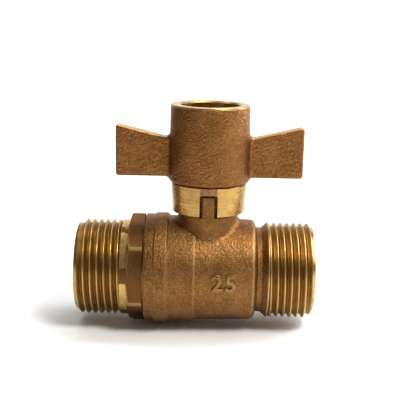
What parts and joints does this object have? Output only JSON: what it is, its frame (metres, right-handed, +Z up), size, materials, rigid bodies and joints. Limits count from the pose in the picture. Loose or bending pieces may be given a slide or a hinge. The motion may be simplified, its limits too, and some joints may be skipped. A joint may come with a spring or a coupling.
{
  "type": "lockable ball valve",
  "caption": "Quarter-turn ball valve with male pipe threads at both ends, a cast body, a slotted lock ring on the neck and a winged handle with a deep well for a lock barrel.",
  "frame": {"origin": "centre of the inlet end face, on the pipe axis", "axes": "+X along the pipe from inlet to outlet, +Z up along the stem, handle wings along X when open"},
  "size_m": [0.0814, 0.0388, 0.0772],
  "materials": {
    "cast_bronze": "sand cast, bare, fine grain",
    "turned_brass": "turned, glossy",
    "chromed_ball": "polished",
    "white_ptfe": "waxy",
    "black_rubber": "satin",
    "plain_steel": "zinc plated"
  },
  "bodies": {
    "valve_body": {"body": "cast_bronze", "end_connector": "turned_brass", "connector_o_ring": "black_rubber", "inlet_seat": "white_ptfe", "outlet_seat": "white_ptfe", "packing_lower": "white_ptfe", "packing_upper": "white_ptfe", "gland_nut": "turned_brass", "lock_ring": "turned_brass"},
    "handle_assembly": {"handle": "cast_bronze", "stem": "turned_brass", "ball": "chromed_ball", "thrust_washer": "white_ptfe", "stem_o_ring_lower": "black_rubber", "stem_o_ring_upper": "black_rubber", "stop_pin": "plain_steel", "flat_washer": "plain_steel", "spring_washer": "plain_steel", "handle_screw": "plain_steel"}
  },
  "joints": [
    {"name": "handle_turn", "type": "hinge", "parent": "valve_body", "child": "handle_assembly", "pos_m": [0.045, 0, 0.0315], "axis": [0, 0, -1], "range_deg": [0, 90]}
  ]
}
